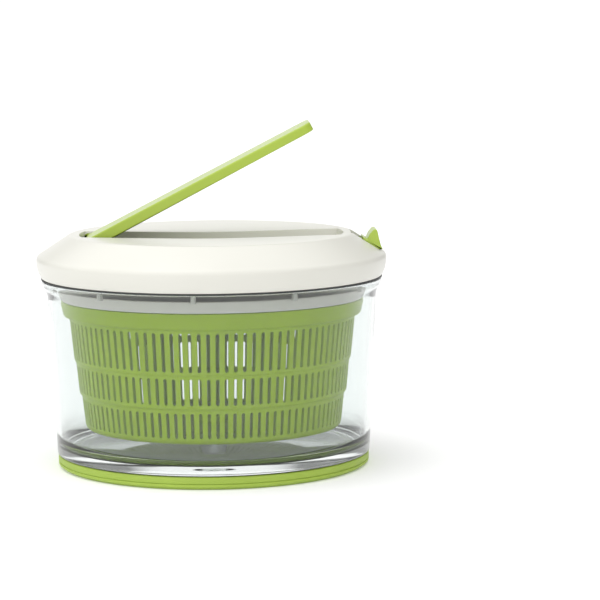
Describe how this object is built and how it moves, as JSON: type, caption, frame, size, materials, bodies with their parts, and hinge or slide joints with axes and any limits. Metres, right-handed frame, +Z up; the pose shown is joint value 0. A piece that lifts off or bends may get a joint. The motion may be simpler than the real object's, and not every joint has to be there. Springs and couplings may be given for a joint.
{
  "type": "salad spinner",
  "caption": "Hand salad spinner: clear bowl on a soft foot ring, slotted green basket, white lid with a folding pump lever, rack and gear drive, roller clutch and latch.",
  "frame": {"origin": "centre of the foot ring where it stands on the table", "axes": "+Z up along the basket's axis, +X from the lever's hinge towards its latch, +Y to the back"},
  "size_m": [0.2204, 0.2204, 0.216],
  "materials": {
    "clear_plastic": "clear moulded bowl, polished",
    "soft_green": "soft green foot ring",
    "basket_green": "satin green polypropylene",
    "lever_green": "satin green moulding",
    "lid_white": "satin warm white moulding",
    "dark_seal": "thin dark seal",
    "acetal": "white acetal gears and bushes",
    "steel": "stainless steel pins, screws and spring"
  },
  "bodies": {
    "bowl": {"bowl": "clear_plastic", "base_ring": "soft_green"},
    "basket": {"basket": "basket_green", "pivot_cup": "acetal"},
    "lid": {"lid_shell": "lid_white", "lid_liner": "lid_white", "rim_gasket": "dark_seal", "liner_screws": "steel", "lever_pin": "steel", "lever_spring": "steel", "idler_axle": "steel", "spindle_bush": "acetal", "thrust_washer": "steel"},
    "lever": {"lever": "lever_green", "drive_sector": "acetal", "sector_screws": "steel"},
    "rack": {"rack": "acetal"},
    "idler": {"idler_gear": "acetal"},
    "clutch": {"clutch_gear": "acetal", "clutch_rollers": "steel"},
    "drive": {"drive_shaft": "steel", "drive_plate": "lid_white", "plate_screw": "steel"},
    "latch": {"latch_tab": "lever_green", "latch_screw": "steel"}
  },
  "joints": [
    {"name": "basket_spin", "type": "hinge", "parent": "bowl", "child": "basket", "pos_m": [0, 0, 0.0248], "axis": [0, 0, 1], "continuous": true},
    {"name": "lid_lift", "type": "slide", "parent": "bowl", "child": "lid", "axis": [0, 0, 1], "range_m": [0, 0.15]},
    {"name": "plate_spin", "type": "hinge", "parent": "lid", "child": "drive", "pos_m": [0, 0, 0.116], "axis": [0, 0, 1], "continuous": true},
    {"name": "lever_pump", "type": "hinge", "parent": "lid", "child": "lever", "pos_m": [-0.076, 0, 0.1413], "axis": [0, 1, 0], "range_deg": [0, 27.2], "stiffness_Nm_per_rad": 0.15, "springref_deg": -34.38, "deforming": ["lever_spring"]},
    {"name": "rack_slide", "type": "slide", "parent": "lid", "child": "rack", "axis": [1, 0, 0], "range_m": [-0.0089, 0]},
    {"name": "idler_spin", "type": "hinge", "parent": "lid", "child": "idler", "pos_m": [-0.02858, 0.012, 0.126], "axis": [0, 0, 1], "range_deg": [-72, 0]},
    {"name": "clutch_spin", "type": "hinge", "parent": "lid", "child": "clutch", "pos_m": [0, 0, 0.126], "axis": [0, 0, 1], "range_deg": [0, 247]},
    {"name": "latch_slide", "type": "slide", "parent": "lid", "child": "latch", "axis": [-1, 0, 0], "range_m": [0, 0.007]}
  ],
  "couplings": [
    {"joint": "plate_spin", "follows": "basket_spin", "ratio": 1},
    {"joint": "rack_slide", "follows": "lever_pump", "m_per_rad": -0.018},
    {"joint": "idler_spin", "follows": "lever_pump", "ratio": -2.5714},
    {"joint": "clutch_spin", "follows": "lever_pump", "ratio": 8.8163}
  ]
}
